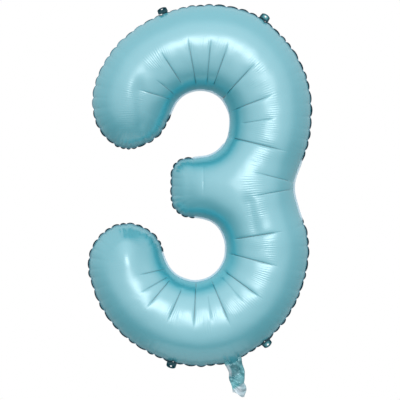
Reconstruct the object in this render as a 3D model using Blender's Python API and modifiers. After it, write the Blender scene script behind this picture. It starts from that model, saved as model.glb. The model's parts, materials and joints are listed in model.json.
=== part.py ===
"""Inflated foil number balloon, the digit 3.

Two metallised film panels are heat-sealed together round the cut edge of the digit. A flat tail at the
bottom is the filling neck: it leads to a self-sealing valve of two thin films between the panels. Four
small ears with thread holes stand on the sealed margin. Tail and ears bend on the film itself.

The digit stands in the XZ plane and faces -Y. The origin is the hanging point, midway between the holes
of the two top ears. Film thicknesses are heavier than real film, so that each film is a solid of its own.
"""

import math

import bmesh
import bpy
import numpy as np
from mathutils import Matrix, Vector
from mathutils.geometry import delaunay_2d_cdt

# ---------------------------------------------------------------- driving dimensions, in metres
DIGIT_HEIGHT = 0.880  # cut edge to cut edge, inflated, without tail and ears
ROUNDNESS = 0.85  # depth of the inflated stroke over its width
DEEPEST_CROWN = 0.088  # the most that one panel stands off the sealed margin
SEAL_WIDTH = 0.005  # sealed margin round the digit
FILM = 0.0004  # modelled thickness of a foil film
FIT_GAP = 0.0003  # free gap between solids that touch on the real balloon
SEAL_THICKNESS = 0.0007  # melted sealing layer between the two margins
VALVE_FILM = 0.0002  # modelled thickness of a valve film

TAIL_WIDTH = 0.038
TAIL_LENGTH = 0.088
TAIL_WELD_WIDTH = 0.003
TAIL_CORNER = 0.004  # rounding of the tail's two lower corners
NECK_PASSAGE_DEPTH = 0.004  # from front to back, of the cut through the sealing layer at the neck
VALVE_WIDTH = 0.030
VALVE_REACH = 0.095  # how far the valve runs up inside the digit from the cut edge
FOLD_GAP = 0.0015  # from the cut edge to a fold line, and from there to the folding film

EAR_RADIUS = 0.010
EAR_HOLE_RADIUS = 0.00325
EAR_HOLE_STAND_OFF = 0.0085  # from the fold line to the hole's centre
EAR_THICKNESS = 0.0012

PITCH = 0.020  # spacing of points along the cut edge and over the panels
RING_DEPTHS = (0.006, 0.019)  # rings of points inside the seal line, where the film rises steeply
LATTICE_PITCH = 1.25 * PITCH  # spacing of points over the rest of a panel

# ---------------------------------------------------------------- layout of the digit
DRAWN_HEIGHT = 0.880  # the layout below is drawn at this height
SCALE = DIGIT_HEIGHT / DRAWN_HEIGHT

# The cut edge, clockwise from the top, from the digit's centre: (x, z) in millimetres at DRAWN_HEIGHT.
UPPER_BOWL_OUTSIDE = [
    (14, 440), (82, 434), (147, 409), (199, 365), (241, 308), (266, 243), (273, 175), (264, 98),
]
WAIST = [(243, 38), (232, 0), (243, -58)]
LOWER_BOWL_OUTSIDE = [
    (263, -120), (265, -178), (252, -242), (226, -302), (185, -358), (132, -402), (72, -430), (4, -441),
    (-62, -433), (-124, -408), (-184, -368), (-231, -313), (-261, -249), (-272, -188),
]
LOWER_HOOK_END = [(-258, -141), (-222, -104), (-178, -91), (-130, -104), (-95, -139)]
LOWER_BAY = [
    (-83, -177), (-65, -207), (-36, -225), (-2, -229), (30, -216), (52, -190), (60, -157), (52, -118),
    (30, -92),
]
ARM = [(-6, -81), (-40, -77), (-64, -55), (-72, 0), (-65, 48), (-46, 65), (-12, 70)]
UPPER_BAY = [(28, 78), (56, 102), (68, 140), (63, 187), (40, 217), (6, 228), (-28, 222), (-54, 201)]
UPPER_HOOK_END = [(-71, 166), (-92, 128), (-130, 99), (-172, 87), (-214, 101), (-247, 138), (-263, 190)]
UPPER_BOWL_LEFT = [(-257, 248), (-230, 307), (-184, 362), (-122, 405), (-55, 431)]
CUT_EDGE = (
    UPPER_BOWL_OUTSIDE + WAIST + LOWER_BOWL_OUTSIDE + LOWER_HOOK_END + LOWER_BAY
    + ARM + UPPER_BAY + UPPER_HOOK_END + UPPER_BOWL_LEFT
)

# Where the ears and the tail stand on the cut edge, drawn the same way.
TAIL_STATION = (81, -428)
EAR_STATIONS = {
    "hang_tab_top_left": (-89, 419),
    "hang_tab_top_right": (156, 404),
    "hang_tab_bottom_left": (-68, -432),
    "hang_tab_bottom_right": (160, -381),
}

# Flat pieces are drawn in their own XY plane and stood up by this turn, so that their Y becomes +Z.
STAND_UP = Matrix.Rotation(math.pi / 2, 4, "X")

# Half the gap between the panels' margins, which the sealing layer fills but for FIT_GAP on each side.
MARGIN_FACE = SEAL_THICKNESS / 2 + FIT_GAP


# ---------------------------------------------------------------- scene, materials
def clear_scene():
    for old in list(bpy.data.objects):
        bpy.data.objects.remove(old, do_unlink=True)
    balloon = bpy.data.collections.new("foil_number_balloon")
    cutters = bpy.data.collections.new("cutters")
    bpy.context.scene.collection.children.link(balloon)
    bpy.context.scene.collection.children.link(cutters)
    return balloon, cutters


def plain_material(name, colour, roughness, metallic, alpha=1.0):
    made = bpy.data.materials.new(name)
    made.use_nodes = True
    shader = made.node_tree.nodes["Principled BSDF"]
    shader.inputs["Base Color"].default_value = (*colour, 1.0)
    shader.inputs["Roughness"].default_value = roughness
    shader.inputs["Metallic"].default_value = metallic
    shader.inputs["Alpha"].default_value = alpha
    return made


# ---------------------------------------------------------------- outlines
def even_loop(points, pitch):
    """A closed loop of (x, z) points, walked at an even spacing close to pitch."""
    closed = np.vstack([points, points[:1]])
    along = np.concatenate([[0.0], np.cumsum(np.linalg.norm(np.diff(closed, axis=0), axis=1))])
    stations = np.linspace(0.0, along[-1], round(along[-1] / pitch), endpoint=False)
    return np.column_stack([np.interp(stations, along, closed[:, k]) for k in (0, 1)])


def smooth_loop(points, pitch):
    """A closed curve with automatic handles through the points, as an even loop."""
    curve = bpy.data.curves.new("outline_guide", "CURVE")
    curve.resolution_u = 24
    spline = curve.splines.new("BEZIER")
    spline.use_cyclic_u = True
    spline.bezier_points.add(len(points) - 1)
    for knot, (x, z) in zip(spline.bezier_points, points):
        knot.co = (x, z, 0.0)
        knot.handle_left_type = knot.handle_right_type = "AUTO"
    guide = bpy.data.objects.new("outline_guide", curve)
    mesh = bpy.data.meshes.new_from_object(guide)
    walked = np.array([vertex.co[:2] for vertex in mesh.vertices])
    bpy.data.meshes.remove(mesh)
    bpy.data.curves.remove(curve)
    return even_loop(walked, pitch)


def outward_normals(loop):
    """Unit normals of a clockwise loop, pointing away from the digit."""
    tangent = np.roll(loop, -1, axis=0) - np.roll(loop, 1, axis=0)
    tangent /= np.linalg.norm(tangent, axis=1)[:, None]
    return np.column_stack([-tangent[:, 1], tangent[:, 0]])


def inset_loop(loop, depth):
    return loop - outward_normals(loop) * depth


def distance_to_loop(points, loop):
    """Distance from each point to the nearest of the loop's edges."""
    start, step = loop, np.roll(loop, -1, axis=0) - loop
    offset = points[:, None, :] - start[None, :, :]
    share = np.clip((offset * step).sum(2) / (step * step).sum(1), 0.0, 1.0)
    return np.linalg.norm(offset - share[..., None] * step, axis=2).min(axis=1)


def inside_loop(points, loop):
    """Whether each point lies inside the loop, by counting the edges to its right."""
    x0, z0 = loop.T
    x1, z1 = np.roll(loop, -1, axis=0).T
    px, pz = points[:, 0:1], points[:, 1:2]
    spans = (z0 > pz) != (z1 > pz)
    crossing = x0 + (pz - z0) * (x1 - x0) / np.where(z1 == z0, 1e-12, z1 - z0)
    return (spans & (crossing > px)).sum(axis=1) % 2 == 1


def station_on(loop, drawn):
    """The place on the loop nearest to a drawn one, with the outward normal there."""
    place = np.array(drawn) * 0.001 * SCALE
    after = np.roll(loop, -1, axis=0)
    step = after - loop
    share = np.clip(((place - loop) * step).sum(1) / (step * step).sum(1), 0.0, 1.0)
    nearest = np.linalg.norm(place - loop - share[:, None] * step, axis=1).argmin()
    point = loop[nearest] + share[nearest] * step[nearest]
    return Vector(point), Vector((-step[nearest][1], step[nearest][0])).normalized()


# ---------------------------------------------------------------- inflated panels
def panel_points(seal_line):
    """Points over the inflated area: rings that follow the seal line where the film rises steeply, then a
    triangular lattice over the rest."""
    rings = []
    for depth in RING_DEPTHS:
        ring = even_loop(inset_loop(seal_line, depth), PITCH)
        clear = distance_to_loop(ring, seal_line) > 0.93 * depth
        rings.append(ring[clear & inside_loop(ring, seal_line)])
    low, high = seal_line.min(axis=0), seal_line.max(axis=0)
    rows = np.arange(low[1], high[1], LATTICE_PITCH * math.sqrt(0.75))
    lattice = [
        (x + (row % 2) * LATTICE_PITCH / 2, z)
        for row, z in enumerate(rows)
        for x in np.arange(low[0], high[0], LATTICE_PITCH)
    ]
    lattice = np.array(lattice)
    lattice = lattice[inside_loop(lattice, seal_line)]
    lattice = lattice[distance_to_loop(lattice, seal_line) > RING_DEPTHS[-1] + 0.55 * PITCH]
    return np.vstack(rings + [lattice])


def crown_heights(points, triangles, rim_count):
    """Height of the film over the seal plane. Solving the flat membrane equation with unit load and taking
    the root gives a round section on any stroke, and a smooth blend where strokes meet."""
    count = len(points)
    stiffness = np.zeros((count, count))
    load = np.zeros(count)
    for corners in triangles:
        a, b, c = points[list(corners)]
        area = abs((b[0] - a[0]) * (c[1] - a[1]) - (b[1] - a[1]) * (c[0] - a[0])) / 2
        edges = np.array([c - b, a - c, b - a])
        block = edges @ edges.T / (4 * area)
        stiffness[np.ix_(corners, corners)] += block
        load[list(corners)] += 2 * area / 3
    free = slice(rim_count, count)
    swell = np.zeros(count)
    swell[free] = np.linalg.solve(stiffness[free, free], load[free])
    crown = ROUNDNESS * np.sqrt(np.maximum(swell, 0.0))
    return DEEPEST_CROWN * np.tanh((crown / DEEPEST_CROWN) ** 3) ** (1 / 3)


def foil_panel(name, side, cut_edge, seal_line, material):
    """One film panel: the flat sealed margin and the inflated crown inside it, as a shell. side is -1 for
    the front panel and +1 for the rear one."""
    inner = panel_points(seal_line)
    rim = len(seal_line)
    flat = np.vstack([seal_line, inner])
    rim_edges = [(i, (i + 1) % rim) for i in range(rim)]
    made = delaunay_2d_cdt([Vector(p) for p in flat], rim_edges, [], 1, 1e-7)
    flat = np.array([tuple(p) for p in made[0]])
    crown = crown_heights(flat, made[2], rim)

    sheet = bmesh.new()
    rise = [
        sheet.verts.new((x, side * (MARGIN_FACE + height), z))
        for (x, z), height in zip(flat, crown)
    ]
    for corners in made[2]:
        sheet.faces.new([rise[i] for i in corners])
    edge = [sheet.verts.new((x, side * MARGIN_FACE, z)) for x, z in cut_edge]
    for i in range(rim):
        after = (i + 1) % rim
        sheet.faces.new([rise[i], rise[after], edge[after], edge[i]])
    bmesh.ops.recalc_face_normals(sheet, faces=sheet.faces[:])
    sheet.faces.ensure_lookup_table()
    if sheet.faces[0].normal.y * side < 0:
        bmesh.ops.reverse_faces(sheet, faces=sheet.faces[:])
    mesh = bpy.data.meshes.new(name)
    sheet.to_mesh(mesh)
    sheet.free()
    mesh.shade_smooth()
    mesh.materials.append(material)
    panel = bpy.data.objects.new(name, mesh)
    wall = panel.modifiers.new("film", "SOLIDIFY")
    wall.thickness = FILM
    wall.offset = 1.0
    wall.use_even_offset = True
    return panel


# ---------------------------------------------------------------- flat pieces
def flat_outline(name, loops, thickness):
    """A flat piece: closed loops of points, the first its edge and the others its holes."""
    curve = bpy.data.curves.new(name, "CURVE")
    curve.dimensions = "2D"
    curve.fill_mode = "BOTH"
    curve.extrude = thickness / 2
    for loop in loops:
        spline = curve.splines.new("POLY")
        spline.use_cyclic_u = True
        spline.points.add(len(loop) - 1)
        for knot, (x, y) in zip(spline.points, loop):
            knot.co = (x, y, 0.0, 1.0)
    return bpy.data.objects.new(name, curve)


def made_mesh(outline):
    """The outline's solid as a mesh object in the same place, with its caps welded."""
    mesh = bpy.data.meshes.new_from_object(outline)
    solid = bmesh.new()
    solid.from_mesh(mesh)
    bmesh.ops.remove_doubles(solid, verts=solid.verts[:], dist=1e-6)
    bmesh.ops.recalc_face_normals(solid, faces=solid.faces[:])
    solid.to_mesh(mesh)
    solid.free()
    name, place = outline.name, outline.matrix_world.copy()
    bpy.data.curves.remove(outline.data)
    mesh.name = name
    piece = bpy.data.objects.new(name, mesh)
    piece.matrix_world = place
    return piece


def arc(centre, radius, start, end, steps):
    """Points on an arc, both ends included, angles in degrees."""
    return [
        (
            centre[0] + radius * math.cos(math.radians(start + (end - start) * i / steps)),
            centre[1] + radius * math.sin(math.radians(start + (end - start) * i / steps)),
        )
        for i in range(steps + 1)
    ]


def block(name, size):
    """A box centred on its origin, in no collection yet."""
    bpy.ops.mesh.primitive_cube_add(size=1.0)
    made = bpy.context.object
    made.name = made.data.name = name
    for holder in list(made.users_collection):
        holder.objects.unlink(made)
    made.data.transform(Matrix.Diagonal((*size, 1.0)))
    return made


def fold_frame(name, point, normal, parent, collection):
    """An empty on a fold line just outside the cut edge: X lies along the fold and Z points outwards."""
    frame = bpy.data.objects.new(name, None)
    place = point + normal * FOLD_GAP
    across = Vector((normal.y, 0.0, -normal.x))
    outwards = Vector((normal.x, 0.0, normal.y))
    frame.matrix_world = Matrix.Translation((place.x, 0.0, place.y)) @ Matrix(
        (across, outwards.cross(across), outwards)
    ).transposed().to_4x4()
    collection.objects.link(frame)
    frame.parent = parent
    return frame


def add(piece, parent, collection, material, turn=None):
    """Puts a finished piece in the balloon, in its parent's coordinates."""
    if not piece.data.materials:
        piece.data.materials.append(material)
    if turn is not None:
        piece.matrix_world = turn
    collection.objects.link(piece)
    piece.parent = parent
    return piece


# ---------------------------------------------------------------- the pieces
def perimeter_seal(cut_edge, seal_line, neck, parent, balloon, cutters, material):
    """The melted layer that joins the two margins all round, but for the neck's passage."""
    point, normal = neck
    ring = flat_outline("perimeter_seal", [cut_edge, seal_line], SEAL_THICKNESS)
    seal = add(made_mesh(ring), parent, balloon, material, STAND_UP)

    passage = block("neck_passage", (TAIL_WIDTH - 2 * TAIL_WELD_WIDTH, NECK_PASSAGE_DEPTH, 6 * SEAL_WIDTH))
    cutters.objects.link(passage)
    lean = math.atan2(-normal.x, -normal.y)
    passage.matrix_world = Matrix.Translation((point.x, 0.0, point.y)) @ Matrix.Rotation(lean, 4, "Y")
    passage.parent = parent
    passage.hide_render = True
    passage.display_type = "WIRE"
    cut = seal.modifiers.new("neck_passage", "BOOLEAN")
    cut.object = passage
    cut.operation = "DIFFERENCE"


def valve(neck, parent, balloon, material):
    """Two thin films that lie on each other between the panels and run up from the neck."""
    frame = fold_frame("valve_frame", *neck, parent, balloon)
    for name, side in (("valve_front_film", -1), ("valve_rear_film", 1)):
        length = VALVE_REACH - FOLD_GAP
        film = block(name, (VALVE_WIDTH, VALVE_FILM, length))
        centre = side * (FIT_GAP / 2 + VALVE_FILM / 2)
        place = Matrix.Translation((0.0, centre, -FOLD_GAP - length / 2))
        add(film, frame, balloon, material, place)


def tail(neck, parent, balloon, foil, weld):
    """The flat filling neck: two films with a weld along each side, open at the lower end. It folds as one
    about the line where it leaves the digit."""
    frame = fold_frame("tail_fold_line", *neck, parent, balloon)
    half = TAIL_WIDTH / 2
    top, bottom = FOLD_GAP, TAIL_LENGTH
    outline = [(-half, top), (half, top)]
    outline += arc((half - TAIL_CORNER, bottom - TAIL_CORNER), TAIL_CORNER, 0, 90, 4)
    outline += arc((TAIL_CORNER - half, bottom - TAIL_CORNER), TAIL_CORNER, 90, 180, 4)
    film_centre = MARGIN_FACE + FILM / 2
    for name, side in (("tail_front_film", -1), ("tail_rear_film", 1)):
        film = flat_outline(name, [outline], FILM)
        place = Matrix.Translation((0.0, side * film_centre, 0.0)) @ STAND_UP
        add(made_mesh(film), frame, balloon, foil, place)

    length = bottom - TAIL_CORNER - top
    for name, side in (("tail_left_weld", 1), ("tail_right_weld", -1)):
        strip = block(name, (TAIL_WELD_WIDTH, SEAL_THICKNESS, length))
        place = Matrix.Translation((side * (half - TAIL_WELD_WIDTH / 2), 0.0, top + length / 2))
        add(strip, frame, balloon, weld, place)


def hang_tabs(cut_edge, parent, balloon, material):
    """Ears of sealed film on the margin, each with a punched hole for a thread."""
    outline = arc((0.0, EAR_HOLE_STAND_OFF), EAR_RADIUS, -20, 200, 18)
    outline = [(EAR_RADIUS * 1.1, FOLD_GAP)] + outline + [(-EAR_RADIUS * 1.1, FOLD_GAP)]
    hole = arc((0.0, EAR_HOLE_STAND_OFF), EAR_HOLE_RADIUS, 0, 345, 23)
    for name, drawn in EAR_STATIONS.items():
        frame = fold_frame(name + "_fold_line", *station_on(cut_edge, drawn), parent, balloon)
        ear = flat_outline(name, [outline, hole], EAR_THICKNESS)
        add(made_mesh(ear), frame, balloon, material, STAND_UP)


def hanging_point(cut_edge):
    """Midway between the holes of the two top ears."""
    holes = []
    for name in ("hang_tab_top_left", "hang_tab_top_right"):
        point, normal = station_on(cut_edge, EAR_STATIONS[name])
        holes.append(point + normal * (FOLD_GAP + EAR_HOLE_STAND_OFF))
    middle = (holes[0] + holes[1]) / 2
    return Vector((middle.x, 0.0, middle.y))


def build():
    balloon, cutters = clear_scene()
    foil = plain_material("blue_foil", (0.28, 0.60, 0.70), 0.34, 0.75)
    seal = plain_material("sealed_margin", (0.16, 0.42, 0.50), 0.40, 0.60)
    clear_film = plain_material("valve_film", (0.86, 0.90, 0.92), 0.25, 0.0, alpha=0.5)

    drawn = np.array(CUT_EDGE, float) * 0.001 * SCALE
    cut_edge = smooth_loop(drawn, PITCH)
    seal_line = inset_loop(cut_edge, SEAL_WIDTH)

    digit = bpy.data.objects.new("digit_centre", None)
    digit.location = -hanging_point(cut_edge)
    balloon.objects.link(digit)

    for name, side in (("front_foil_panel", -1), ("rear_foil_panel", 1)):
        add(foil_panel(name, side, cut_edge, seal_line, foil), digit, balloon, foil)
    neck = station_on(cut_edge, TAIL_STATION)
    perimeter_seal(cut_edge, seal_line, neck, digit, balloon, cutters, seal)
    valve(neck, digit, balloon, clear_film)
    tail(neck, digit, balloon, foil, seal)
    hang_tabs(cut_edge, digit, balloon, seal)
    bpy.context.view_layer.update()


build()
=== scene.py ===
"""Foil number balloon, the digit 3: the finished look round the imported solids."""

import json
import math

import bmesh
import bpy
import numpy as np
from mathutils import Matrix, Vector, noise
from mathutils.geometry import delaunay_2d_cdt
from mathutils.kdtree import KDTree


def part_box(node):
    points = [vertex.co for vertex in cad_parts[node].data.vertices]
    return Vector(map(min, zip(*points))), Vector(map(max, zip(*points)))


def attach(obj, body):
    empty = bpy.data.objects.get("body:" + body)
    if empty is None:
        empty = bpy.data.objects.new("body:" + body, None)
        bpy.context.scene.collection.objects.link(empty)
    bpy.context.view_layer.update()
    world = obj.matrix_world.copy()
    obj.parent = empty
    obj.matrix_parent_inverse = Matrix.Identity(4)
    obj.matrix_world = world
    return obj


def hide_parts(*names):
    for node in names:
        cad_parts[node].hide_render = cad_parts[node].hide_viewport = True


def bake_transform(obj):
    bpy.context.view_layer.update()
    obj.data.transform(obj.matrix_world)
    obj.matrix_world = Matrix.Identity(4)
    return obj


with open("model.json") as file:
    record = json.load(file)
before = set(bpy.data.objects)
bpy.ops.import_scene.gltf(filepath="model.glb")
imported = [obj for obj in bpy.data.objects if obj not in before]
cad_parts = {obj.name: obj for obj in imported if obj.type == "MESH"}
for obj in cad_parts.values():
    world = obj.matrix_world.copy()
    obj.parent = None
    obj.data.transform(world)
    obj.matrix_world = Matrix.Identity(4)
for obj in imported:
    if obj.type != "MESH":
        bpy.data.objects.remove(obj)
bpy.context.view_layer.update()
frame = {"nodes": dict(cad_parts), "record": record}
bpy.ops.object.select_all(action="DESELECT")

# ---------------------------------------------------------------- the cut edge
# Both films are cut and welded along one line. It is read off the flat margin of the front panel's solid,
# where it is a loop of short straight edges, and smoothed to the curve that the film is cut to.
SEAM_PITCH = 0.0024
MARGIN = 0.005
SAME_POINT = 1e-6
EDGE_LEAN = 0.02        # how far the normal of a cut face may lean out of the seam's plane
EDGE_REACH = 0.0012     # how far from that plane its middle may lie
SPAN_STEPS = 16
BEND_BLUR = 6


def margin_loop(node):
    """The cut edge as a clockwise loop of (x, z), from the narrow faces that close the panel's film."""
    solid = bmesh.new()
    solid.from_mesh(frame["nodes"][node].data)
    bmesh.ops.remove_doubles(solid, verts=solid.verts[:], dist=SAME_POINT)
    beside = {}
    for face in solid.faces:
        if abs(face.normal.y) > EDGE_LEAN or abs(face.calc_center_median().y) > EDGE_REACH:
            continue
        places = {(round(v.co.x, 6), round(v.co.z, 6)) for v in face.verts}
        if len(places) == 2:
            a, b = places
            beside.setdefault(a, set()).add(b)
            beside.setdefault(b, set()).add(a)
    solid.free()
    start = max(beside, key=lambda place: place[1])
    loop, here, last = [start], max(beside[start]), start
    while here != start:
        loop.append(here)
        here, last = next(place for place in beside[here] if place != last), here
    return np.array(loop)


def smooth_curve(points, closed, pitch):
    """A smooth curve through the points, walked at an even spacing close to pitch."""
    if closed:
        padded = np.vstack([points[-1:], points, points[:2]])
    else:
        padded = np.vstack([2 * points[0] - points[1], points, 2 * points[-1] - points[-2]])
    before, here, after, beyond = padded[:-3], padded[1:-2], padded[2:-1], padded[3:]
    walked = np.stack([
        0.5 * (
            2 * here + (after - before) * t
            + (2 * before - 5 * here + 4 * after - beyond) * t**2
            + (3 * here - before - 3 * after + beyond) * t**3
        )
        for t in np.linspace(0, 1, SPAN_STEPS, endpoint=False)
    ], axis=1).reshape(-1, 2)
    walked = np.vstack([walked, walked[:1] if closed else points[-1:]])
    along = np.concatenate([[0], np.cumsum(np.linalg.norm(np.diff(walked, axis=0), axis=1))])
    stations = np.linspace(0, along[-1], round(along[-1] / pitch) + 1)
    if closed:
        stations = stations[:-1]
    return np.column_stack([np.interp(stations, along, walked[:, k]) for k in (0, 1)])


def loop_normals(loop):
    """Unit normals of a clockwise loop, pointing out of the digit."""
    tangent = np.roll(loop, -1, axis=0) - np.roll(loop, 1, axis=0)
    tangent /= np.linalg.norm(tangent, axis=1)[:, None]
    return np.column_stack([-tangent[:, 1], tangent[:, 0]])


def blurred(values, reach):
    """A closed row of values averaged with a bell of that many neighbours each way."""
    bell = np.exp(-0.5 * (np.arange(-3 * reach, 3 * reach + 1) / reach) ** 2)
    wrapped = np.concatenate([values[-3 * reach:], values, values[:3 * reach]])
    return np.convolve(wrapped, bell / bell.sum(), mode="valid")


def smooth_step(values, low, high):
    """0 below low, 1 above high, eased between them."""
    share = np.clip((values - low) / (high - low), 0, 1)
    return share * share * (3 - 2 * share)


cut_edge = smooth_curve(margin_loop("front_foil_panel"), True, SEAM_PITCH)
seam_normal = loop_normals(cut_edge)
seam = cut_edge - seam_normal * MARGIN
seam_count = len(seam)
seam_bend = -np.cross(seam_normal, np.roll(seam_normal, -1, axis=0)) / SEAM_PITCH
seam_bend = blurred(seam_bend, BEND_BLUR)
digit = (seam.min(axis=0) + seam.max(axis=0)) / 2

# ---------------------------------------------------------------- tucks along the weld
# Round the outside of the digit the weld is longer than its way once the film has swollen. It gathers in
# small tucks: the edge stands out in arcs between them and swings forward and back. In the bays and at the
# waist the weld is pulled tight, and the edge is smooth.
TUCK_PITCH = (0.020, 0.034)
CLOSER = 0.36             # tucks lie this share closer where the edge bends sharply
SHARP_BEND = (6, 15)      # bends are in 1/m: the edge of a wide curve, and of a tight one
SLACK_BEND = (-1.5, 2.5)
BAY_BLUR = 10
WAIST_SIDE = 0.15         # the waist lies further to the right than this, the bays nearer
ARC_FULLNESS = 0.6
TUCK_OUT = 0.0029
TUCK_REST = 0.65
TUCK_SWING = 0.0024
TUCK_FLUTTER = 0.0012
tuck_draws = np.random.default_rng(5)

tuck_ends = [0.0]
while tuck_ends[-1] < seam_count * SEAM_PITCH:
    bend = seam_bend[min(int(tuck_ends[-1] / SEAM_PITCH), seam_count - 1)]
    closer = 1 - CLOSER * float(smooth_step(bend, *SHARP_BEND))
    tuck_ends.append(tuck_ends[-1] + closer * tuck_draws.uniform(*TUCK_PITCH))
tuck_ends = np.array(tuck_ends) * seam_count * SEAM_PITCH / tuck_ends[-1]
way_along = np.arange(seam_count) * SEAM_PITCH
tuck = np.searchsorted(tuck_ends, way_along, side="right") - 1
tuck_share = (way_along - tuck_ends[tuck]) / (tuck_ends[tuck + 1] - tuck_ends[tuck])
tuck_swing = tuck_draws.uniform(0.35, 1.0, len(tuck_ends)) * np.where(np.arange(len(tuck_ends)) % 2, 1, -1)
tuck_swing[-1] = tuck_swing[0]
tuck_size = tuck_draws.uniform(0.7, 1.25, len(tuck_ends))

slack = smooth_step(seam_bend, *SLACK_BEND)
# How far into a bay each point of the seam lies. It carries painted shade onto the film of the bays: the deeper teal
# of walls that face each other and reflect one another.
bay_shade_share = blurred(1 - slack, BAY_BLUR) * (seam[:, 0] < digit[0] + WAIST_SIDE)
arcs = np.sin(np.pi * tuck_share) ** ARC_FULLNESS
turn = 0.5 - 0.5 * np.cos(np.pi * tuck_share)
seam_out = slack * TUCK_OUT * (arcs * tuck_size[tuck] - TUCK_REST)
seam_swing = slack * TUCK_SWING * (tuck_swing[tuck] * (1 - turn) + tuck_swing[tuck + 1] * turn)
seam_swing += slack * TUCK_FLUTTER * np.sin(np.pi * tuck_share) * np.where(tuck % 3 == 0, 1, -0.6)
to_tuck = np.minimum(tuck_share, 1 - tuck_share) * (tuck_ends[tuck + 1] - tuck_ends[tuck])

# At the mouth of the tail the two films run out flat, so the edge is drawn down to it.
NECK_REACH = 0.011
NECK_WIDTH = 0.014
fold = next(joint for joint in frame["record"]["behaviour"]["joints"] if joint["name"] == "tail_fold")
neck_place = np.array([fold["pos_m"][0], fold["pos_m"][2]])
neck_index = int(np.linalg.norm(cut_edge - neck_place, axis=1).argmin())
neck_way = seam_normal[neck_index]
from_neck = np.abs((np.arange(seam_count) - neck_index + seam_count // 2) % seam_count - seam_count // 2)
neck_pull = np.exp(-((from_neck * SEAM_PITCH / NECK_WIDTH) ** 2))
seam_out = seam_out * (1 - neck_pull) + NECK_REACH * neck_pull
seam_swing *= 1 - neck_pull

# ---------------------------------------------------------------- foil panels
# Two pieces of metallised film, cut alike and welded edge to edge. Gas pushes them into round tubes. On the
# inside of each bend the film is too long for its way and lies in sharp folds that run up to the crest.
ROUNDNESS = 0.85
DEEPEST_CROWN = 0.088
BAND_STEPS = 12
BAND_DEPTH = 0.014
LATTICE_PITCH = 0.0026
LATTICE_GAP = 0.0012      # lattice points keep this far from points along the folds
FOLD_PITCH = 0.0022
FOLD_ROWS = (0.0, 0.0006, 0.0014, 0.0026, 0.0044)
FOLD_LEAD = 0.12

# Each fold: where it starts near the bay and where it ends at the crest, from the digit's centre in
# millimetres, and how deep it is.
FOLDS = np.array([
    (-66, 206, -151, 231, 0.8), (-57, 216, -107, 255, 0.8), (-47, 249, -95, 322, 0.9), (-10, 247, -30, 358, 1.0),
    (17, 250, 27, 358, 0.8), (30, 234, 70, 345, 1.0), (56, 212, 136, 297, 1.1), (83, 183, 177, 218, 1.0),
    (106, 150, 184, 162, 0.6), (75, 116, 215, 80, 1.2),
    (221, 9, 128, 32, 0.8), (222, -10, 125, -27, 0.7),
    (91, -129, 202, -111, 1.1), (78, -167, 193, -197, 1.0), (61, -209, 153, -276, 1.1), (51, -219, 109, -287, 0.5),
    (30, -236, 75, -343, 1.0), (19, -269, 30, -334, 0.5), (-10, -240, -15, -349, 1.0), (-46, -255, -80, -332, 0.9),
    (-75, -232, -130, -297, 1.0), (-80, -222, -142, -259, 0.8), (-87, -202, -154, -218, 0.9),
    (8, 48, 8, -27, 0.4),
    (68, -430, 56, -406, 0.5), (90, -420, 90, -398, 0.6), (79, -428, 75, -396, 0.3),
], float)

# Long shallow dents where the film is slack: two ends in millimetres as above, half-width and depth in metres.
# The last one has a depth below zero: the film swells at the lower hook's end.
DENTS = np.array([
    (-146, 226, -140, 132, 0.015, 0.0034),
    (118, -46, 132, -104, 0.013, 0.0026),
    (-30, 40, -32, -35, 0.020, 0.0012),
    (-178, -160, -184, -122, 0.032, -0.0085),
], float)

# The middle of the stroke, from the upper hook's end to the lower one's, from the digit's centre in metres.
STROKE_MIDDLE = np.array([
    (-0.172, 0.150), (-0.170, 0.195), (-0.155, 0.252), (-0.116, 0.302), (-0.060, 0.330), (0.005, 0.337),
    (0.075, 0.320), (0.130, 0.277), (0.163, 0.220), (0.170, 0.160), (0.160, 0.095), (0.143, 0.030),
    (0.143, -0.030), (0.155, -0.095), (0.163, -0.165), (0.150, -0.230), (0.110, -0.287), (0.060, -0.323),
    (0.000, -0.335), (-0.065, -0.322), (-0.120, -0.290), (-0.160, -0.240), (-0.178, -0.190), (-0.180, -0.150),
])


def inside(points, loop):
    """Whether each point lies inside the loop, by counting the edges to its right."""
    x0, z0 = loop.T
    x1, z1 = np.roll(loop, -1, axis=0).T
    within = np.zeros(len(points), bool)
    batch = 4000
    for start in range(0, len(points), batch):
        px, pz = points[start:start + batch].T[..., None]
        spans = (z0 > pz) != (z1 > pz)
        crossing = x0 + (pz - z0) * (x1 - x0) / np.where(z1 == z0, 1e-12, z1 - z0)
        within[start:start + batch] = (spans & (crossing > px)).sum(axis=1) % 2 == 1
    return within


def nearest_on(line, points):
    """For each point the index of the nearest point of the line, and the distance to it."""
    tree = KDTree(len(line))
    for index, (x, z) in enumerate(line):
        tree.insert((x, 0, z), index)
    tree.balance()
    found = [tree.find((x, 0, z)) for x, z in points]
    return np.array([f[1] for f in found]), np.array([f[2] for f in found])


def fold_ends(fold):
    return digit + fold[0:2] * 0.001, digit + fold[2:4] * 0.001


def fold_coordinates(points, fold):
    """Share along a fold from its start, signed distance across it, and its length."""
    start, end = fold_ends(fold)
    length = np.linalg.norm(end - start)
    way = (end - start) / length
    offset = points - start
    return offset @ way / length, offset @ np.array([-way[1], way[0]]), length


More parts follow.
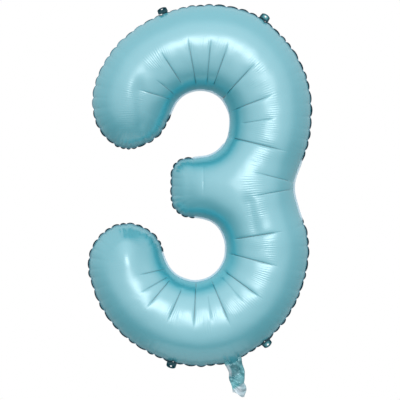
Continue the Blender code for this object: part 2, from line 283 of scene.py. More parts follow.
def flat_pattern():
    """Points and triangles over the whole panel in the plane of the seam: a fine band along the seam, where
    the film rises steeply, and a lattice inside it, closer along the folds."""
    depths = BAND_DEPTH * (np.arange(BAND_STEPS + 1) / BAND_STEPS) ** 2
    band = np.vstack([seam - seam_normal * depth for depth in depths])
    ring = band[-seam_count:]

    low, high = ring.min(axis=0), ring.max(axis=0)
    row_step = LATTICE_PITCH * math.sqrt(0.75)
    rows, columns = round((high[1] - low[1]) / row_step), round((high[0] - low[0]) / LATTICE_PITCH)
    row, column = np.meshgrid(np.arange(rows), np.arange(columns), indexing="ij")
    lattice = np.column_stack([
        (low[0] + (column + 0.5 * (row % 2)) * LATTICE_PITCH).ravel(), (low[1] + row * row_step).ravel()
    ])
    lattice = lattice[inside(lattice, ring)]
    keep = nearest_on(ring, lattice)[1] > 0.6 * LATTICE_PITCH
    for fold in FOLDS:
        share, across, length = fold_coordinates(lattice, fold)
        beyond = np.maximum(np.maximum(-FOLD_LEAD - share, share - 1), 0) * length
        keep &= np.hypot(across, beyond) > FOLD_ROWS[-1] + LATTICE_GAP
    lattice = lattice[keep]

    lines = []
    for fold in FOLDS:
        start, end = fold_ends(fold)
        length = np.linalg.norm(end - start)
        across = np.array([start[1] - end[1], end[0] - start[0]]) / length
        steps = round((1 + FOLD_LEAD) * length / FOLD_PITCH)
        shares = np.linspace(-FOLD_LEAD, 1, steps + 1)[:, None]
        for off in sorted({sign * row for row in FOLD_ROWS for sign in (-1, 1)}):
            lines.append(start + (end - start) * shares + across * off)
    lines = np.vstack(lines)
    lines = lines[inside(lines, ring)]
    lines = lines[nearest_on(ring, lines)[1] > LATTICE_GAP]

    inner = np.vstack([ring, lattice, lines])
    ring_edges = [(i, (i + 1) % seam_count) for i in range(seam_count)]
    made = delaunay_2d_cdt([Vector(p) for p in inner], ring_edges, [], 1, 1e-7)
    kept = np.array([tuple(p) for p in made[0]])
    first = BAND_STEPS * seam_count
    points = np.vstack([band[:first], kept])
    here = np.arange(first)
    after = here - here % seam_count + (here + 1) % seam_count
    faces = np.vstack([
        np.column_stack([here, after, after + seam_count]),
        np.column_stack([here, after + seam_count, here + seam_count]),
        np.array(made[2]) + first,
    ])
    a, b, c = (points[faces[:, k]] for k in range(3))
    turned = np.cross(b - a, c - a) < 0
    faces[turned] = faces[turned][:, ::-1]
    return points, faces


def crown(points, faces):
    """Height of the film over the seam's plane: the root of the swell that an even load gives a membrane."""
    a, b, c = (points[faces[:, k]] for k in range(3))
    area = np.maximum(0.5 * np.cross(b - a, c - a), 1e-14)
    count = len(points)
    opposite = (c - b, a - c, b - a)
    load = sum(np.bincount(faces[:, k], 2 * area / 3, count) for k in range(3))
    own = sum(np.bincount(faces[:, k], (opposite[k] ** 2).sum(1) / (4 * area), count) for k in range(3))
    pairs = [(0, 1), (1, 2), (2, 0)]
    first = np.concatenate([faces[:, i] for i, _ in pairs])
    second = np.concatenate([faces[:, j] for _, j in pairs])
    shared = np.concatenate([(opposite[i] * opposite[j]).sum(1) / (4 * area) for i, j in pairs])
    free = np.arange(count) >= seam_count

    def pull(swell):
        result = own * swell
        result += np.bincount(first, shared * swell[second], count)
        result += np.bincount(second, shared * swell[first], count)
        return np.where(free, result, 0)

    swell = np.zeros(count)
    rest = np.where(free, load, 0)
    guess = rest / own
    direction = guess.copy()
    size = rest @ guess
    goal = size * 1e-10
    while size > goal:  # conjugate gradients
        pulled = pull(direction)
        step = size / (direction @ pulled)
        swell += step * direction
        rest -= step * pulled
        guess = rest / own
        grown = rest @ guess
        direction = guess + grown / size * direction
        size = grown
    height = ROUNDNESS * np.sqrt(np.maximum(swell, 0))
    return DEEPEST_CROWN * np.tanh((height / DEEPEST_CROWN) ** 3) ** (1 / 3)


def vertex_normals(points, faces):
    a, b, c = (points[faces[:, k]] for k in range(3))
    face_normal = np.cross(b - a, c - a)
    total = np.column_stack([
        sum(np.bincount(faces[:, k], face_normal[:, axis], len(points)) for k in range(3))
        for axis in range(3)
    ])
    return total / np.maximum(np.linalg.norm(total, axis=1), 1e-12)[:, None]


flat, film_faces = flat_pattern()
seam_index, seam_distance = nearest_on(seam, flat)

STROKE_PITCH = 0.001
stroke = smooth_curve(STROKE_MIDDLE, False, STROKE_PITCH) + digit
stroke_index, _ = nearest_on(stroke, flat)
stroke_way = np.gradient(stroke, axis=0)
stroke_way /= np.linalg.norm(stroke_way, axis=1)[:, None]
along_stroke = stroke_index * STROKE_PITCH + ((flat - stroke[stroke_index]) * stroke_way[stroke_index]).sum(1)
off_middle = np.cross(stroke_way[stroke_index], flat - stroke[stroke_index])

# Round the two bends the crest lies on the middle of the stroke, not nearer to the bay as an even load puts it.
CREST_SHIFT = 0.105
HALF_STROKE = 0.097
BENDS_FROM = (0.04, 0.14)  # height over or under the arm from which the stroke bends
lean = np.clip(off_middle / HALF_STROKE, -1, 1) * smooth_step(np.abs(flat[:, 1] - digit[1]), *BENDS_FROM)
height = crown(flat, film_faces) * (1 + CREST_SHIFT * lean)
from_weld = np.hypot(seam_distance, height)

SWELLS = ((0.0010, 11, 1), (0.0003, 34, -1))  # height, waves to the metre, and way of the shift
SWELL_SLICE = 0.02
FOLD_REACH = 0.05
GROOVE = (0.0020, 0.0009, 0.0020)  # depth, and width of the steep and of the slow side
TROUGH = (0.0007, 0.010)
LAP = (0.0006, 0.014, 0.0008)      # one side of a fold lies over the other: height, width, width of the step
CREASE_SHADE_WIDTH = 0.0011


def unevenness(seed):
    """The slow swells and hollows of a film that isn't quite evenly stretched."""
    shift = Vector((seed * 7.3, 0, 0))
    return np.array([
        sum(
            swell * noise.noise(Vector((x, SWELL_SLICE, z)) * waves + shift * way, noise_basis="PERLIN_NEW")
            for swell, waves, way in SWELLS
        )
        for x, z in flat
    ]) * smooth_step(from_weld, 0.01, 0.05)


def fold_depths(seed):
    """How far each point sinks into the folds, and how much painted shade it takes along a fold's groove."""
    draws = np.random.default_rng(seed)
    sink, crease_shade = np.zeros(len(flat)), np.zeros(len(flat))
    for fold in FOLDS:
        share, across, _ = fold_coordinates(flat, fold)
        near = (share > -0.3) & (share < 1.3) & (np.abs(across) < FOLD_REACH)
        fade = smooth_step(share[near], -FOLD_LEAD, 0.02) * smooth_step(-share[near], -1.05, -0.60)
        q = across[near] * draws.choice([-1, 1])
        groove = np.exp(-np.abs(q) / np.where(q > 0, GROOVE[1], GROOVE[2]))
        trough = np.exp(-((q / TROUGH[1]) ** 2))
        lap = np.sign(q) * np.exp(-np.abs(q) / LAP[1]) * np.minimum(np.abs(q) / LAP[2], 1)
        depth = GROOVE[0] * groove + TROUGH[0] * trough + LAP[0] * lap
        sink[near] += fold[4] * draws.uniform(0.85, 1.15) * fade * depth
        crease_shade[near] = np.maximum(crease_shade[near], fold[4] * fade * np.exp(-np.abs(q) / CREASE_SHADE_WIDTH))
    for dent in DENTS:
        width, depth = dent[4:6]
        share, across, length = fold_coordinates(flat, dent)
        beyond = np.maximum(np.maximum(-share, share - 1), 0) * length
        hollow = np.exp(-((across / width) ** 2) - (beyond / (1.6 * width)) ** 2)
        sink += depth * hollow * smooth_step(seam_distance, 0.012, 0.045)
    return sink, crease_shade


TUCK_DEPTH = 0.0022
TUCK_WIDTH = 0.0018
TUCK_START, TUCK_LENGTH = 0.004, 0.020
PULLED_OUT = 0.024       # how far in from the weld the film follows its outward and its sideways way
PULLED_ASIDE = 0.020
BAY_SLOPE = (0.008, 0.042)
GATHERED = 0.012


def film_panel(name, side, seed):
    """The front film has side -1, the rear film +1."""
    points = np.column_stack([flat[:, 0], side * height, flat[:, 1]])
    faces = film_faces[:, ::-1] if side > 0 else film_faces
    normal = vertex_normals(points, faces)
    if (normal[:, 1] * side).sum() < 0:
        faces, normal = faces[:, ::-1], -normal
    tucked = slack[seam_index] * np.exp(-to_tuck[seam_index] / TUCK_WIDTH)
    tucked *= np.exp(-from_weld / TUCK_LENGTH) * (1 - np.exp(-from_weld / TUCK_START))
    sink, crease_shade = fold_depths(seed)
    points += normal * (unevenness(seed) - sink - TUCK_DEPTH * tucked)[:, None]
    outward = seam_normal[seam_index]
    out = seam_out[seam_index] * np.exp(-from_weld / PULLED_OUT)
    points[:, 0] += outward[:, 0] * out
    points[:, 2] += outward[:, 1] * out
    points[:, 1] += seam_swing[seam_index] * np.exp(-from_weld / PULLED_ASIDE)

    mesh = bpy.data.meshes.new(name)
    mesh.from_pydata(points.tolist(), [], faces.tolist())
    mesh.shade_smooth()
    # Painted shade: this attribute deepens the film's teal on the bays' inner slopes, where the walls face each
    # other.
    bay = mesh.attributes.new("bay", "FLOAT", "POINT")
    bay.data.foreach_set("value", bay_shade_share[seam_index] * (1 - smooth_step(seam_distance, *BAY_SLOPE)))
    gathered = mesh.attributes.new("gathered", "FLOAT", "POINT")
    gathered.data.foreach_set("value", slack[seam_index] * np.exp(-from_weld / GATHERED))
    # Painted shade along the folds' grooves, kept as an attribute for the film's colour.
    crease_shade_layer = mesh.attributes.new("crease_shade", "FLOAT", "POINT")
    crease_shade_layer.data.foreach_set("value", crease_shade)
    layer = mesh.uv_layers.new(name="stroke")
    corners = np.empty(len(mesh.loops), np.int32)
    mesh.loops.foreach_get("vertex_index", corners)
    layer.data.foreach_set("uv", np.column_stack([along_stroke, off_middle])[corners].astype(np.float32).ravel())
    panel = bpy.data.objects.new(name, mesh)
    bpy.context.scene.collection.objects.link(panel)
    return panel


class Socket:
    """A shader socket. Python's operators on it build Math nodes."""

    def __init__(self, graph, source):
        self.graph, self.source = graph, source

    def __add__(self, other):
        return self.graph.math("ADD", self, other)

    __radd__ = __add__

    def __sub__(self, other):
        return self.graph.math("SUBTRACT", self, other)

    def __rsub__(self, other):
        return self.graph.math("SUBTRACT", other, self)

    def __mul__(self, other):
        return self.graph.math("MULTIPLY", self, other)

    __rmul__ = __mul__


class Finish:
    """A material with a Principled shader, whose nodes come from one method."""

    def __init__(self, name, **values):
        self.material = bpy.data.materials.new(name)
        self.material.use_nodes = True
        self.tree = self.material.node_tree
        self.shader = self.tree.nodes["Principled BSDF"]
        for socket, value in values.items():
            self.shader.inputs[socket.replace("_", " ")].default_value = value

    def node(self, kind, settings=None, sockets=None, output=0):
        made = self.tree.nodes.new("ShaderNode" + kind)
        for name, value in (settings or {}).items():
            setattr(made, name, value)
        for name, value in (sockets or {}).items():
            if isinstance(value, Socket):
                self.tree.links.new(value.source, made.inputs[name])
            else:
                made.inputs[name].default_value = value
        return Socket(self, made.outputs[output])

    def math(self, operation, *values):
        return self.node("Math", {"operation": operation}, dict(enumerate(values)))

    def between(self, value, low, high):
        """The value as a share of the way from low to high, eased and kept between 0 and 1."""
        sockets = {"Value": value, "From Min": low, "From Max": high}
        return self.node("MapRange", {"interpolation_type": "SMOOTHSTEP"}, sockets)

    def mixed(self, share, first, second):
        return self.node("Mix", {"data_type": "RGBA"}, {0: share, 6: first, 7: second}, 2)

    def noise(self, place, scale, detail=2.0, roughness=0.5):
        return self.node("TexNoise", {}, {"Vector": place, "Scale": scale, "Detail": detail, "Roughness": roughness})

    def feed(self, socket, value):
        self.tree.links.new(value.source, self.shader.inputs[socket])


TICK_PITCH = 0.0052       # fine ribs across the stroke, which stand in patches on the crest
TICK_HEIGHT = 0.00006
STREAK_SCALE = (300, 26, 1)
STREAK_HEIGHT = 0.00026
CREST_AT = 0.006
CREST_EDGE = (0.012, 0.050)
FILM_BLUE = (0.047, 0.400, 0.488, 1)
FILM_BLUE_DEEP = (0.038, 0.365, 0.452, 1)
# Painted shade and reflection: the deeper teal that the bays' facing walls would throw on each other.
FILM_BAY_PAINTED_SHADE = (0.026, 0.440, 0.545, 1)
# Painted shade in the folds' grooves.
FILM_CREASE_SHADE = (0.010, 0.130, 0.170, 1)

satin = Finish("blue_satin_foil", IOR=2.85, Specular_IOR_Level=0.5)
place = satin.node("TexCoord", {}, {}, 3)
surface = satin.node("UVMap", {"uv_map": "stroke"})
across = satin.node("SeparateXYZ", {}, {"Vector": surface}, 1)
bay = satin.node("Attribute", {"attribute_name": "bay"}, {}, 2)
crease_shade = satin.node("Attribute", {"attribute_name": "crease_shade"}, {}, 2)
gathered = satin.node("Attribute", {"attribute_name": "gathered"}, {}, 2)
crest = 1 - satin.between(satin.math("ABSOLUTE", across + CREST_AT), *CREST_EDGE)
stretched = satin.node("Mapping", {}, {"Vector": surface, "Scale": STREAK_SCALE})
streaks = satin.noise(stretched, 1.0, 1.0)
along = satin.node("SeparateXYZ", {}, {"Vector": surface}, 0)
ticks = satin.math("SINE", along * (2 * math.pi / TICK_PITCH) + 9.0 * satin.noise(place, 12.0, 1.0))
patches = satin.between(satin.noise(place, 17.0, 1.0), 0.40, 0.60)
cloud = satin.noise(place, 9.0, 3.0)
relief = (streaks * STREAK_HEIGHT + ticks * TICK_HEIGHT) * patches * crest
satin.feed("Normal", satin.node("Bump", {}, {"Strength": 1.0, "Distance": 1.0, "Height": relief}))
blue = satin.mixed(cloud, FILM_BLUE_DEEP, FILM_BLUE)
blue = satin.mixed(bay, blue, FILM_BAY_PAINTED_SHADE)
satin.feed("Base Color", satin.mixed(satin.between(crease_shade, 0.25, 0.90), blue, FILM_CREASE_SHADE))
satin.feed("Metallic", 0.08 + 0.43 * bay + 0.35 * gathered)
satin.feed("Roughness", 0.266 + 0.04 * cloud + 0.09 * bay + 0.20 * gathered)

for name, side, seed, node in (
    ("front_foil", -1, 10, "front_foil_panel"),
    ("rear_foil", 1, 12, "rear_foil_panel"),
):
    panel = film_panel(name, side, seed)
    panel.data.materials.append(satin.material)
    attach(panel, "envelope")
    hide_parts(node)

# ---------------------------------------------------------------- sealed margin
# The two films' edges, melted together into one flat strip 5 mm wide and trimmed outside the weld. It follows the
# tucks, lies tight in the bays, and its cut edge curls. Painted shade darkens the cut edge in the arcs, and a
# painted sheen lightens the tight margin in the bays.
MARGIN_FILM = 0.0003
ACROSS_MARGIN = (-0.0012, 0.0, 0.0010, 0.0020, 0.0028, 0.0036, 0.0046)
NECK_GAP = 0.019
LOOSE_TILT, TAUT_TILT = 0.45, 0.35
CURL = 0.0006
CURL_PITCH = 0.0071
CURL_DRIFT = 57
UPPER_LEFT = np.array([-0.83, 0.55])  # the way out of the digit on the flank where the margin is narrow
FLANK_FROM = 0.10
TUCKED_IN = 0.45
FLANK_NARROW = 0.50
EARS = ("top_left", "top_right", "bottom_left", "bottom_right")

joints = {joint["name"]: joint for joint in frame["record"]["behaviour"]["joints"]}
margin_draws = np.random.default_rng(8)
neck_gap = np.exp(-((from_neck * SEAM_PITCH / NECK_GAP) ** 6))
tilt = slack * LOOSE_TILT * (tuck_swing[tuck] * np.sin(np.pi * tuck_share)) - (1 - slack) * TAUT_TILT
curl = slack * CURL * np.sin(2 * np.pi * way_along / CURL_PITCH + 2 * np.sin(way_along * CURL_DRIFT))
flank = smooth_step(seam_normal @ UPPER_LEFT, 0.45, 0.80) * (seam[:, 1] - digit[1] > FLANK_FROM)
reach = (1 - TUCKED_IN * slack * (1 - arcs)) * (1 - neck_gap) * (1 - FLANK_NARROW * flank)
rows = []
for depth in ACROSS_MARGIN:
    out = seam_out + depth * np.cos(tilt) * (reach if depth > 0 else 1)
    lift = seam_swing + depth * np.sin(tilt) + curl * max(depth, 0) / ACROSS_MARGIN[-1]
    spot = seam + seam_normal * out[:, None]
    rows.append(np.column_stack([spot[:, 0], lift, spot[:, 1]]))
margin_points = np.vstack(rows)
here = np.arange(seam_count * (len(ACROSS_MARGIN) - 1))
after = here - here % seam_count + (here + 1) % seam_count
margin_faces = np.column_stack([here, after, after + seam_count, here + seam_count])

# Painted shade on the cut edge: deepest in the arcs between the tucks, most on the right, least on the upper left,
# and a painted shadow where the ears leave the edge.
FLANK_PALER = 0.55
RIGHT_DARKER = 0.35
EAR_SHADOW = (1.6, 0.013)
SHADE_FROM, SHADE_FULL = 0.14, 0.32
shadow = slack * smooth_step(arcs, 0.30, 0.75) * (1 - FLANK_PALER * flank)
shadow *= 1 + RIGHT_DARKER * smooth_step(seam_normal[:, 0], 0.5, 0.9)
shadow *= margin_draws.uniform(0.65, 1.3, len(tuck_ends))[tuck]
for corner in EARS:
    root = np.array(joints["ear_bend_" + corner]["pos_m"])[[0, 2]]
    from_ear = np.linalg.norm(cut_edge - root, axis=1)
    shadow = np.maximum(shadow, EAR_SHADOW[0] * np.exp(-((from_ear / EAR_SHADOW[1]) ** 4)))
mesh = bpy.data.meshes.new("sealed_margin")
mesh.from_pydata(margin_points.tolist(), [], margin_faces.tolist())
for name, values in (
    ("rim", np.repeat(np.array(ACROSS_MARGIN) / ACROSS_MARGIN[-1], seam_count)),
    ("slack", np.tile(slack, len(ACROSS_MARGIN))),
    ("edge_shade", np.tile(shadow, len(ACROSS_MARGIN))),
):
    mesh.attributes.new(name, "FLOAT", "POINT").data.foreach_set("value", values)
margin = bpy.data.objects.new("sealed_margin", mesh)
bpy.context.scene.collection.objects.link(margin)
bpy.context.view_layer.objects.active = margin
margin.select_set(True)


def thicken(piece, thickness):
    """Give the active piece a wall, half to each side."""
    wall = piece.modifiers.new("film", "SOLIDIFY")
    wall.thickness = thickness
    wall.offset = 0
    bpy.ops.object.modifier_apply(modifier="film")


def turn_faces_out():
    """Point the active piece's faces outward."""
    bpy.ops.object.mode_set(mode="EDIT")
    bpy.ops.mesh.select_all(action="SELECT")
    bpy.ops.mesh.normals_make_consistent(inside=False)
    bpy.ops.object.mode_set(mode="OBJECT")


thicken(margin, MARGIN_FILM)
turn_faces_out()
bpy.ops.object.shade_smooth_by_angle(angle=math.radians(50))
margin.select_set(False)

# The margin's colours: painted shade for the cut edge, the margin's own teal grey on the loose arcs, and a painted
# sheen, near white, where it lies tight in the bays.
SEALED_PAINTED_SHADE = (0.008, 0.040, 0.055, 1)
SEALED_LIGHT = (0.22, 0.40, 0.48, 1)
TAUT_PAINTED_SHEEN = (0.78, 0.86, 0.92, 1)

sealed = Finish("sealed_foil", IOR=1.5, Specular_IOR_Level=0.15)
rim_share = sealed.node("Attribute", {"attribute_name": "rim"}, {}, 2)
edge_shade_share = sealed.node("Attribute", {"attribute_name": "edge_shade"}, {}, 2)
loose_share = sealed.node("Attribute", {"attribute_name": "slack"}, {}, 2)
painted_edge_shade = sealed.between(rim_share * edge_shade_share, SHADE_FROM, SHADE_FULL)
# In the bays the tight margin takes a painted sheen instead of its own teal grey.
light = sealed.mixed(loose_share, TAUT_PAINTED_SHEEN, SEALED_LIGHT)
sealed.feed("Base Color", sealed.mixed(painted_edge_shade, light, SEALED_PAINTED_SHADE))
sealed.feed("Roughness", 0.34 + 0.15 * sealed.noise(sealed.node("TexCoord", {}, {}, 3), 60.0))
margin.data.materials.append(sealed.material)
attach(margin, "envelope")
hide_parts("perimeter_seal")

# ---------------------------------------------------------------- ears
# Four rounded tabs with a thread hole, cut in one with the margin where the balloon is hung up. Each is two films
# melted together, coloured a dark teal with a painted sheen round the hole, a little curled, and it bends where it
# leaves the edge.
EAR_FILM = 0.0005
EAR_HOLE = 0.0027
EAR_ROUND = (0.0116, 0.0076)
EAR_ROOT = (0.0150, 0.0040)
EAR_RINGS = 5
EAR_GROWTH = 1.3         # each ring is this much wider than the one inside it
EAR_BEND_FROM = 0.002    # the ear is flat up to here from its root, and then curls over EAR_BEND
EAR_BEND = 0.009
EAR_WAVE = (0.0007, 420)
BACK_SHEEN = 0.45        # how much of the painted sheen on the middle shows on an ear that is turned away
EAR_DARK = (0.012, 0.065, 0.085, 1)
EAR_PAINTED_SHEEN = (0.10, 0.36, 0.40, 1)
EAR_TILT = {"top_left": -54, "top_right": 34, "bottom_left": -44, "bottom_right": 36}

ear_film = Finish("ear_foil", IOR=1.5, Specular_IOR_Level=0.2)
ear_sheen = ear_film.node("Attribute", {"attribute_name": "ear_sheen"}, {}, 2)
grain = ear_film.noise(ear_film.node("TexCoord", {}, {}, 3), 210.0)
# The pale middle round the hole is a painted sheen, broken up by grain.
ear_sheen_and_grain = ear_film.between(ear_sheen + 0.5 * grain, 0.55, 1.15)
ear_film.feed("Base Color", ear_film.mixed(ear_sheen_and_grain, EAR_DARK, EAR_PAINTED_SHEEN))
ear_film.feed("Roughness", 0.30 + 0.15 * grain)

for corner in EARS:
    joint = joints["ear_bend_" + corner]
    root = np.array([joint["pos_m"][0], joint["pos_m"][2]])
    way = seam_normal[np.linalg.norm(cut_edge - root, axis=1).argmin()]
    low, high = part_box("hang_tab_" + corner)
    middle = np.array([(low[0] + high[0]) / 2, (low[2] + high[2]) / 2])
    stand = float((middle - root) @ way)
    hole = root + way * stand
    bpy.ops.mesh.primitive_circle_add(
        vertices=44, radius=EAR_HOLE, location=(hole[0], 0, hole[1]), rotation=(math.pi / 2, 0, 0)
    )
    ear = bpy.context.object
    ear.name = ear.data.name = "ear_" + corner
    bpy.ops.object.transform_apply(location=True, rotation=True, scale=True)
    bpy.ops.object.mode_set(mode="EDIT")
    bpy.ops.mesh.select_all(action="SELECT")
    for _ in range(EAR_RINGS):
        bpy.ops.mesh.extrude_region()
        bpy.ops.transform.resize(value=(EAR_GROWTH, 1.0, EAR_GROWTH), center_override=(hole[0], 0, hole[1]))
    bpy.ops.object.mode_set(mode="OBJECT")

    ear_sheens = []
    for vertex in ear.data.vertices:
        offset = np.array([vertex.co.x, vertex.co.z]) - hole
        radius = np.linalg.norm(offset)
        up, side = offset @ way / radius, np.cross(way, offset) / radius
        back = float(smooth_step(-up, 0.05, 0.75))
        edge_up = EAR_ROUND[1] * up * (1 - back) - back * (stand + EAR_ROOT[1])
        edge_side = side * (EAR_ROUND[0] * (1 - back) + back * EAR_ROOT[0])
        ring_share = math.log(radius / EAR_HOLE) / math.log(EAR_GROWTH) / EAR_RINGS
        height_up = EAR_HOLE * up * (1 - ring_share) + edge_up * ring_share
        height_side = EAR_HOLE * side * (1 - ring_share) + edge_side * ring_share
        spot = hole + way * height_up + np.array([-way[1], way[0]]) * height_side
        beyond = max(height_up + stand - EAR_BEND_FROM, 0)
        bend = math.radians(EAR_TILT[corner]) * float(smooth_step(beyond, 0, EAR_BEND))
        spot -= way * beyond * (1 - math.cos(bend))
        wave = EAR_WAVE[0] * math.sin(height_side * EAR_WAVE[1])
        vertex.co = (spot[0], beyond * math.sin(bend) + wave, spot[1])
        ear_sheens.append((1 - ring_share) * (1.0 if EAR_TILT[corner] > 0 else BACK_SHEEN))
    layer = ear.data.attributes.new("ear_sheen", "FLOAT", "POINT")
    layer.data.foreach_set("value", ear_sheens)
    thicken(ear, EAR_FILM)
    turn_faces_out()
    bpy.ops.object.shade_smooth_by_angle(angle=math.radians(40))
    ear.data.materials.append(ear_film.material)
    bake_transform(ear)
    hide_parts("hang_tab_" + corner)
    ear.select_set(False)

# ---------------------------------------------------------------- filling tail
# The flat tube that the gas went in through, two films welded down both sides. It hangs slack under the digit:
# crumpled, turned a little to one side, and cut off at a slant.
TAIL_REACH = 0.0895
TAIL_START = -0.012       # it starts inside the digit's mouth; s is the way down from the cut edge
TAIL_HALF = 0.0192
TAIL_CELL = 0.0011
TAIL_LEAN = math.radians(9.0)
TAIL_STIFF = 0.02         # the first stretch stands straight out of the mouth
CRUMPLE_SHIFT = Vector((3.1, 0.7, 5.3))
CRUMPLE_DEPTH = 0.0036
TAIL_WAVE = (0.003, 60)
TAIL_TWIST = 0.0035
# Pleats at the root: place across (-1 left edge, 1 right edge), width, depth, and where along the tail they end.
PLEATS = ((0.38, 0.10, 0.0030, 0.018, 0.034), (-0.30, 0.09, 0.0022, 0.008, 0.022))


def eased(value, low, high):
    return float(smooth_step(value, low, high))


def bell(value, middle, width):
    return math.exp(-(((value - middle) / width) ** 2))


def tail_length(u):
    """The slanted end: short on the left, longest right of the middle."""
    return 0.074 + 0.0155 * eased(u, -0.9, 0.35) - 0.006 * eased(u, 0.6, 1.0)


def tail_half_width(s, u):
    """Wider in the mouth, then narrower down to a nicked and gathered end."""
    half = TAIL_HALF * (1 + 0.16 * bell(s, -0.004, 0.011)) * (1 - 0.13 * eased(s, 0.035, 0.075))
    half *= 1 - 0.06 * math.sin(s * 145 + u) * eased(s, 0.01, 0.03)
    half *= 1 - 0.16 * eased(u, 0.3, 0.9) * bell(s, 0.056, 0.006)
    half *= 1 - 0.30 * eased(s, 0.072, 0.088) * eased(abs(u - 0.3), 0.1, 0.8)
    return half


def crumple(x, z):
    """Sharp ridges between soft hollows, coarse ones with fine ones on them."""
    coarse = Vector((x * 46, z * 62 + x * 22, 0)) + CRUMPLE_SHIFT
    fine = Vector((x * 120, z * 160 - x * 90, 4)) + CRUMPLE_SHIFT
    return 0.62 - 2.2 * abs(noise.noise(coarse)) + 0.14 * (0.4 - 1.6 * abs(noise.noise(fine)))


tail_rows = round((TAIL_REACH - TAIL_START) / TAIL_CELL)
tail_columns = round(2 * TAIL_HALF / TAIL_CELL)
turned = np.arctan2(neck_way[0], -neck_way[1]) - TAIL_LEAN
plumb = np.array([math.sin(turned), -math.cos(turned)])
front_rows, back_rows, pale_rows = [], [], []
for row in range(tail_rows + 1):
    for column in range(tail_columns + 1):
        u = 2 * column / tail_columns - 1
        s = TAIL_START + (tail_length(u) - TAIL_START) * row / tail_rows
        sag = eased(s, 0.005, 0.045)
        way = neck_way * (1 - sag) + plumb * sag
        axis = neck_place + neck_way * min(s, TAIL_STIFF) + way * max(s - TAIL_STIFF, 0)
        across = np.array([-way[1], way[0]])
        spot = axis + across * (u * tail_half_width(s, u))
        loose = eased(s, -0.004, 0.016)
        pleat = -sum(
            depth * math.exp(-((abs(u - place) / breadth) ** 1.2)) * (1 - eased(s, ending, ended))
            for place, breadth, depth, ending, ended in PLEATS
        )
        belly = (1 - abs(u) ** 2.5) ** 0.5
        middle = TAIL_TWIST * u * eased(s, 0.02, 0.08)
        middle += loose * (CRUMPLE_DEPTH * crumple(*spot) + TAIL_WAVE[0] * math.sin(s * TAIL_WAVE[1]))
        gap = 0.0004 + belly * (0.0045 * bell(s, 0.010, 0.012) + 0.0011)
        front_rows.append((spot[0], middle - gap - pleat * belly, spot[1]))
        back_rows.append((spot[0], middle + gap + 0.3 * pleat * belly, spot[1]))
        left_strip = eased(-u, 0.50, 0.72) * (1 - eased(s, 0.030, 0.042)) * eased(s, 0.0, 0.008)
        tip = eased(s + 0.006 * u, 0.058, 0.066)
        pale_rows.append(max(left_strip, tip))

width = tail_columns + 1
tail_points = np.array(front_rows + back_rows)
layer = len(front_rows)
tail_faces = []
for row in range(tail_rows):
    for column in range(tail_columns):
        a, b = row * width + column, row * width + column + 1
        tail_faces.append((a, a + width, b + width, b))
        tail_faces.append((a + layer, b + layer, b + layer + width, a + layer + width))
for row in range(tail_rows):
    for a, flip in ((row * width, 1), (row * width + tail_columns, 0)):
        side_face = (a, a + layer, a + layer + width, a + width)
        tail_faces.append(side_face if flip else side_face[::-1])
for column in range(tail_columns):
    for a, flip in ((column, 0), (tail_rows * width + column, 1)):
        end_face = (a, a + layer, a + layer + 1, a + 1)
        tail_faces.append(end_face if flip else end_face[::-1])
mesh = bpy.data.meshes.new("filling_tail")
mesh.from_pydata(tail_points.tolist(), [], tail_faces)
pale = mesh.attributes.new("pale", "FLOAT", "POINT")
pale.data.foreach_set("value", np.tile(pale_rows, 2))
tail = bpy.data.objects.new("filling_tail", mesh)
bpy.context.scene.collection.objects.link(tail)
bpy.context.view_layer.objects.active = tail
tail.select_set(True)
turn_faces_out()
bpy.ops.object.shade_smooth()
tail.select_set(False)

TAIL_BLUE = ((0.026, 0.195, 0.235, 1), (0.060, 0.330, 0.375, 1))
TAIL_SILVER = ((0.26, 0.42, 0.47, 1), (0.50, 0.61, 0.67, 1))
tail_film = Finish("tail_foil", Metallic=0.28, IOR=2.1)
pale_share = tail_film.node("Attribute", {"attribute_name": "pale"}, {}, 2)
place = tail_film.node("TexCoord", {}, {}, 3)
blotch = tail_film.between(tail_film.noise(place, 48.0, 2.0), 0.35, 0.65)
blue = tail_film.mixed(blotch, *TAIL_BLUE)
silver = tail_film.mixed(blotch, *TAIL_SILVER)
tail_film.feed("Base Color", tail_film.mixed(pale_share, blue, silver))
tail_film.feed("Roughness", 0.16 + 0.10 * blotch)
tail.data.materials.append(tail_film.material)
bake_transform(tail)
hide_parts("tail_front_film", "tail_rear_film", "tail_left_weld", "tail_right_weld")

# ---------------------------------------------------------------- valve
# Two strips of clear film inside the mouth of the tail. The gas presses them together and keeps itself in.
clear_film = Finish("clear_valve_film", IOR=1.5)
haze = clear_film.noise(clear_film.node("TexCoord", {}, {}, 3), 90.0)
CLEAR_TINTS = ((0.80, 0.86, 0.88, 1), (0.90, 0.94, 0.95, 1))
clear_film.feed("Base Color", clear_film.mixed(haze, *CLEAR_TINTS))
clear_film.feed("Roughness", 0.12 + 0.10 * haze)
clear_film.feed("Alpha", 0.30 + 0.15 * haze)
for node in ("valve_front_film", "valve_rear_film"):
    for slot in frame["nodes"][node].material_slots:
        slot.material = clear_film.material

# ---------------------------------------------------------------- studio
# A white room with a wide soft light above the camera, a weaker one behind, and a pale floor far below.
ROOM_TINT = (0.98, 0.99, 1.0, 1)
ROOM_RISE = {"From Min": -0.7, "From Max": 0.6, "To Min": 0.32, "To Max": 0.99}  # brighter towards the top
FRONT_WAY = Vector((0.0, -1.0, 0.15)).normalized()
FRONT_GLOW = {"From Min": 0.35, "From Max": 1.0, "To Min": 0.0, "To Max": 0.60}  # and towards the reader

world = bpy.data.worlds.new("studio")
bpy.context.scene.world = world
world.use_nodes = True
nodes, links = world.node_tree.nodes, world.node_tree.links
nodes.clear()


def world_node(kind, inputs=None):
    made = nodes.new("ShaderNode" + kind)
    for socket, value in (inputs or {}).items():
        made.inputs[socket].default_value = value
    return made


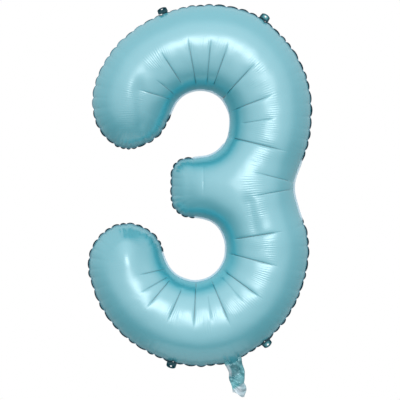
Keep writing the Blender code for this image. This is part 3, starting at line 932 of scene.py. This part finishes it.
toward = world_node("TexCoord").outputs["Generated"]
split = world_node("SeparateXYZ")
rising = world_node("MapRange", ROOM_RISE)
facing = world_node("VectorMath", {1: FRONT_WAY})
facing.operation = "DOT_PRODUCT"
frontal = world_node("MapRange", FRONT_GLOW)
frontal.interpolation_type = "SMOOTHSTEP"
total = world_node("Math")
room = world_node("Background", {"Color": ROOM_TINT})
backdrop = world_node("Background", {"Color": (1, 1, 1, 1), "Strength": 1.0})
seen = world_node("LightPath").outputs["Is Camera Ray"]
mix = world_node("MixShader")
output = world_node("OutputWorld")
links.new(toward, split.inputs[0])
links.new(toward, facing.inputs[0])
links.new(split.outputs["Z"], rising.inputs["Value"])
links.new(facing.outputs["Value"], frontal.inputs["Value"])
links.new(rising.outputs[0], total.inputs[0])
links.new(frontal.outputs[0], total.inputs[1])
links.new(total.outputs[0], room.inputs["Strength"])
links.new(seen, mix.inputs["Fac"])
links.new(room.outputs[0], mix.inputs[1])
links.new(backdrop.outputs[0], mix.inputs[2])
links.new(mix.outputs[0], output.inputs["Surface"])
bpy.context.scene.view_settings.view_transform = "Standard"

LIT_POINT = Vector((0, 0, -0.42))


def soft_light(name, place, size, power):
    """A rectangular light that is turned to the middle of the digit."""
    data = bpy.data.lights.new(name, "AREA")
    data.shape = "RECTANGLE"
    data.size, data.size_y = size
    data.energy = power
    light = bpy.data.objects.new(name, data)
    light.location = place
    light.rotation_euler = (LIT_POINT - Vector(place)).to_track_quat("-Z", "Y").to_euler()
    bpy.context.scene.collection.objects.link(light)


soft_light("key_softbox", (-0.1, -12.0, 1.45), (2.9, 2.2), 120)
soft_light("rear_softbox", (0.0, 9.0, 1.0), (2.4, 1.8), 55)

FLOOR_SIZE = 2.0
FLOOR_HEIGHT = -2.4
FLOOR_GREYS = ((0.60, 0.60, 0.59, 1), (0.64, 0.64, 0.63, 1))
bpy.ops.mesh.primitive_plane_add(size=FLOOR_SIZE, location=(digit[0], 0, FLOOR_HEIGHT))
floor = bpy.context.object
floor.name = floor.data.name = "floor"
bpy.ops.object.transform_apply(location=True, rotation=True, scale=True)
pale_floor = Finish("pale_floor", Roughness=0.6)
speckle = pale_floor.noise(pale_floor.node("TexCoord", {}, {}, 3), 30.0)
pale_floor.feed("Base Color", pale_floor.mixed(speckle, *FLOOR_GREYS))
floor.data.materials.append(pale_floor.material)
floor.select_set(False)

VIEW_SPAN = 0.9724
CAMERA_DISTANCE = 9.0
SENSOR_WIDTH = 36
LOOK_BELOW_MIDDLE = 0.0355  # the tail is in the view too
camera_data = bpy.data.cameras.new("camera")
camera_data.sensor_width = SENSOR_WIDTH
camera_data.lens = SENSOR_WIDTH * CAMERA_DISTANCE / VIEW_SPAN
camera = bpy.data.objects.new("camera", camera_data)
camera.location = (digit[0], -CAMERA_DISTANCE, digit[1] - LOOK_BELOW_MIDDLE)
camera.rotation_euler = (math.pi / 2, 0, 0)
bpy.context.scene.collection.objects.link(camera)
bpy.context.scene.camera = camera
